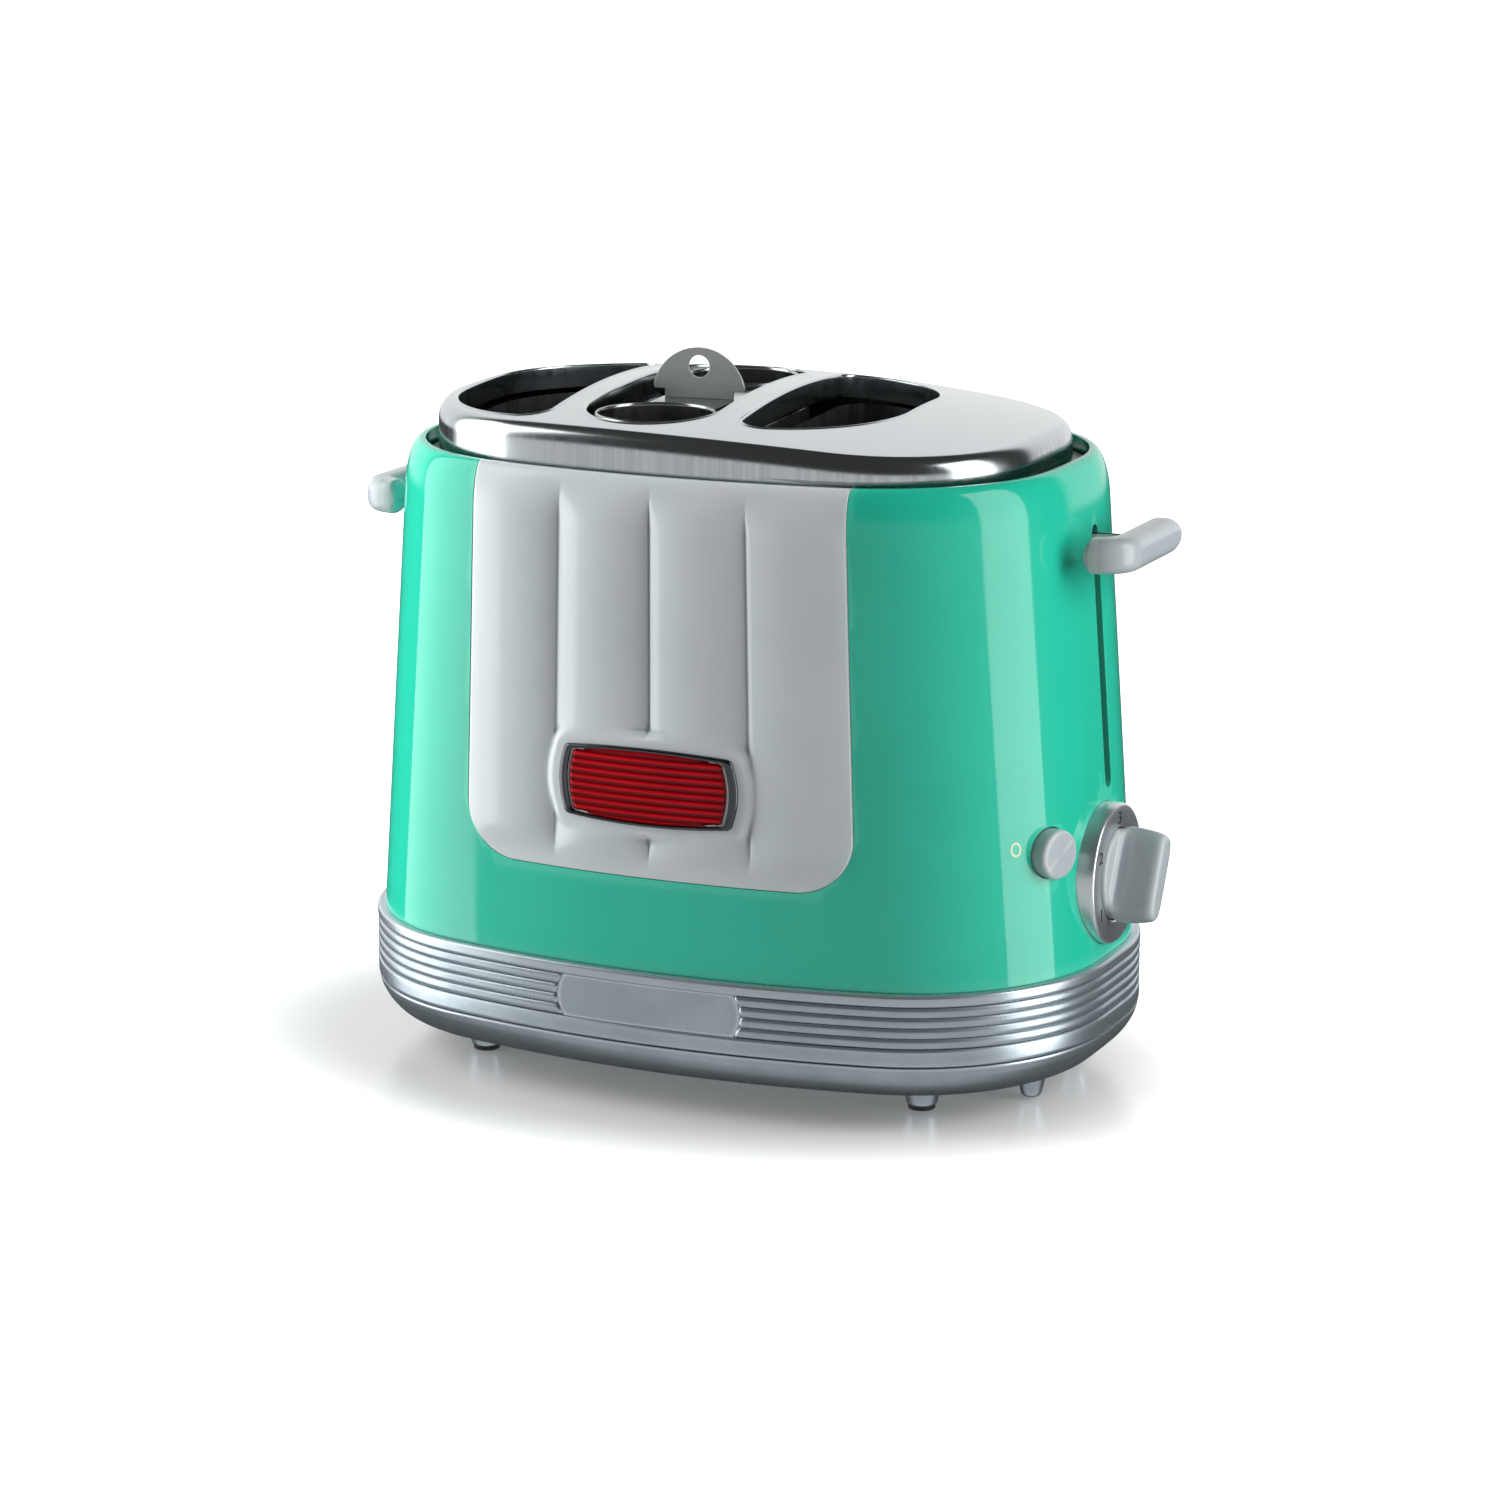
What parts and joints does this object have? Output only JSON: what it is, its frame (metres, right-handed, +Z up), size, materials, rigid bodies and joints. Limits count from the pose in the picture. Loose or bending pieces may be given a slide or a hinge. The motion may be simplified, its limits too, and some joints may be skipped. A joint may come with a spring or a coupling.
{
  "type": "hot dog toaster",
  "caption": "Retro hot dog toaster: bun wells, a lift-out sausage cage, a sprung carriage with end levers, a timer dial, a stop button and a crumb tray under a polished lid.",
  "frame": {"origin": "middle of the toaster in plan, on the surface it stands on", "axes": "+Z up, -Y out of the fluted front panel, +X out of the timer end"},
  "size_m": [0.313, 0.186, 0.2553],
  "materials": {
    "silver_paint": "satin silver",
    "rubber_pad": "black rubber",
    "teal_gloss": "high gloss teal",
    "white_gloss": "high gloss white",
    "dark_chrome": "dark mirror chrome",
    "red_lens": "translucent ribbed red",
    "polished_steel": "polished top, brushed skirt",
    "galvanised_sheet": "plain zinc-coated sheet",
    "liner_steel": "dull grey sheet",
    "mica_sheet": "pale mica",
    "heater_ribbon": "dark ribbon",
    "rod_steel": "ground steel",
    "black_plastic": "black",
    "circuit_board": "green board",
    "silver_dial": "satin silver",
    "cage_steel": "satin stainless"
  },
  "bodies": {
    "housing": {"base_pan": "silver_paint", "base_band": "silver_paint", "front_plate": "silver_paint", "feet": "silver_paint", "foot_pads": "rubber_pad", "cord_hooks": "silver_paint", "body_shell": "teal_gloss", "front_panel": "white_gloss", "badge_frame": "dark_chrome", "badge_lens": "red_lens", "lid_cover": "polished_steel", "chassis_floor": "galvanised_sheet", "chassis_top": "galvanised_sheet", "bun_liner_left": "liner_steel", "bun_liner_right": "liner_steel", "cage_liner": "liner_steel", "heater_board_left": "mica_sheet", "heater_board_right": "mica_sheet", "heater_wire_left": "heater_ribbon", "heater_wire_right": "heater_ribbon", "guard_wires_left": "liner_steel", "guard_wires_right": "liner_steel", "guide_rod_left": "rod_steel", "guide_rod_right": "rod_steel", "latch_magnet": "black_plastic", "timer_unit": "black_plastic", "control_board": "circuit_board", "stop_switch": "circuit_board", "dial_ring": "silver_dial", "cord_inlet": "black_plastic", "housing_screws": "rod_steel", "return_spring_left": "rod_steel", "return_spring_right": "rod_steel", "button_spring": "rod_steel"},
    "carriage": {"carriage_frame": "galvanised_sheet", "bun_rest_left": "galvanised_sheet", "bun_rest_right": "galvanised_sheet", "cage_rest": "galvanised_sheet", "lever_arm_left": "galvanised_sheet", "lever_arm_right": "galvanised_sheet", "lever_left": "white_gloss", "lever_right": "white_gloss", "latch_plate": "galvanised_sheet", "guide_bushes": "white_gloss"},
    "cage": {"cup_front": "cage_steel", "cup_rear": "cage_steel", "cage_bridge": "cage_steel", "cage_tab": "cage_steel", "cage_foot": "cage_steel"},
    "stop_button": {"stop_button": "white_gloss"},
    "timer_knob": {"timer_knob": "white_gloss", "timer_shaft": "rod_steel"},
    "crumb_tray": {"crumb_tray": "galvanised_sheet"}
  },
  "joints": [
    {"name": "carriage_slide", "type": "slide", "parent": "housing", "child": "carriage", "axis": [0, 0, 1], "range_m": [-0.08, 0], "stiffness_N_per_m": 120, "springref_m": 0.06, "deforming": ["return_spring_left", "return_spring_right"]},
    {"name": "cage_lift", "type": "slide", "parent": "carriage", "child": "cage", "axis": [0, 0, 1], "range_m": [0, 0.15]},
    {"name": "stop_press", "type": "slide", "parent": "housing", "child": "stop_button", "axis": [-0.9272, 0.3746, 0], "range_m": [0, 0.003], "stiffness_N_per_m": 300, "springref_m": -0.002},
    {"name": "dial_turn", "type": "hinge", "parent": "housing", "child": "timer_knob", "pos_m": [0.14, 0, 0.0792], "axis": [-1, 0, 0], "range_deg": [0, 280]},
    {"name": "tray_slide", "type": "slide", "parent": "housing", "child": "crumb_tray", "axis": [0, 1, 0], "range_m": [0, 0.15]}
  ]
}
